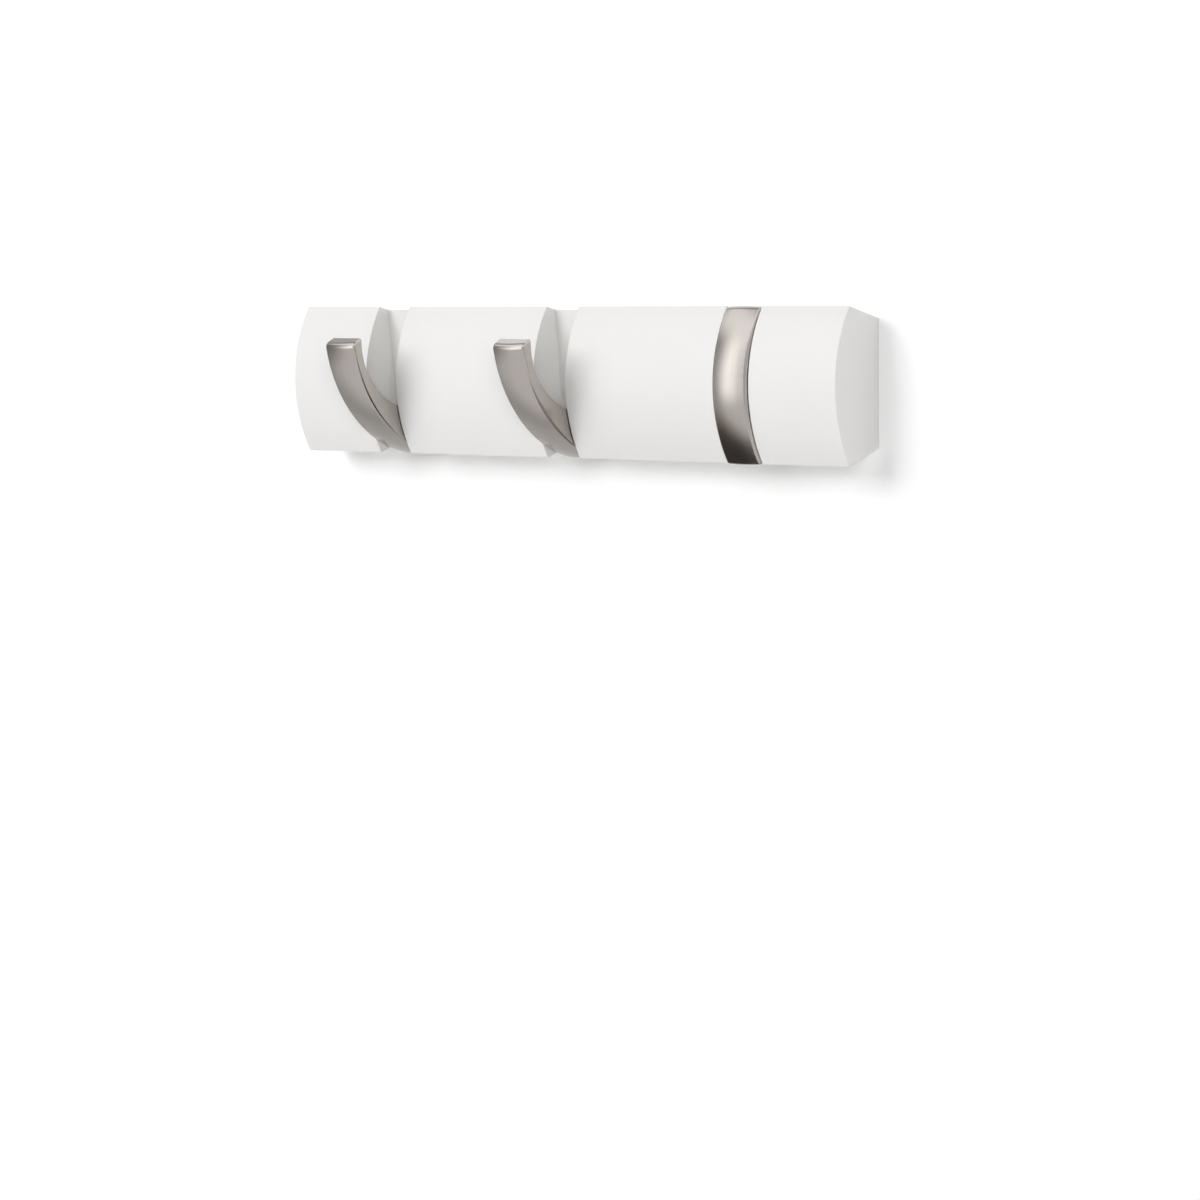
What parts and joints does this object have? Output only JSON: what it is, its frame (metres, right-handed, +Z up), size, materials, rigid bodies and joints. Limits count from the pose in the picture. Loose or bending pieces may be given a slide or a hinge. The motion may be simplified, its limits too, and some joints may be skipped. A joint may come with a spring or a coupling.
{
  "type": "folding wall hook rail",
  "caption": "Bowed white wall rail with slots that hold curved fold-down metal hooks; each hook pivots out on a pin and folds back into its slot.",
  "frame": {"origin": "middle of the rail's back, in the wall plane, at half the rail's height", "axes": "+X along the rail to the right as seen from the room, +Y into the wall, +Z up"},
  "size_m": [0.343, 0.0568, 0.07],
  "materials": {
    "rail_plastic": "satin white moulding",
    "hook_nickel": "satin nickel plate",
    "washer_nylon": "natural nylon",
    "pin_steel": "ground steel",
    "clip_steel": "phosphated steel",
    "spring_steel": "rolled spring steel",
    "plate_zinc": "bright zinc plate",
    "screw_steel": "zinc-plated steel"
  },
  "bodies": {
    "rail": {"rail_body": "rail_plastic", "pivot_pin_left": "pin_steel", "pin_clip_left": "clip_steel", "friction_spring_left": "spring_steel", "spring_screw_left": "screw_steel", "pivot_pin_middle": "pin_steel", "pin_clip_middle": "clip_steel", "friction_spring_middle": "spring_steel", "spring_screw_middle": "screw_steel", "pivot_pin_right": "pin_steel", "pin_clip_right": "clip_steel", "friction_spring_right": "spring_steel", "spring_screw_right": "screw_steel", "keyhole_plate_left": "plate_zinc", "plate_screws_left": "screw_steel", "keyhole_plate_right": "plate_zinc", "plate_screws_right": "screw_steel"},
    "fold_hook_left": {"hook_left": "hook_nickel", "thrust_washers_left": "washer_nylon"},
    "fold_hook_middle": {"hook_middle": "hook_nickel", "thrust_washers_middle": "washer_nylon"},
    "fold_hook_right": {"hook_right": "hook_nickel", "thrust_washers_right": "washer_nylon"}
  },
  "joints": [
    {"name": "fold_left", "type": "hinge", "parent": "rail", "child": "fold_hook_left", "pos_m": [-0.111, -0.016, -0.02032], "axis": [1, 0, 0], "range_deg": [-42, 0]},
    {"name": "fold_middle", "type": "hinge", "parent": "rail", "child": "fold_hook_middle", "pos_m": [0, -0.016, -0.02032], "axis": [1, 0, 0], "range_deg": [-42, 0]},
    {"name": "fold_right", "type": "hinge", "parent": "rail", "child": "fold_hook_right", "pos_m": [0.111, -0.016, -0.02032], "axis": [1, 0, 0], "range_deg": [0, 42]}
  ]
}
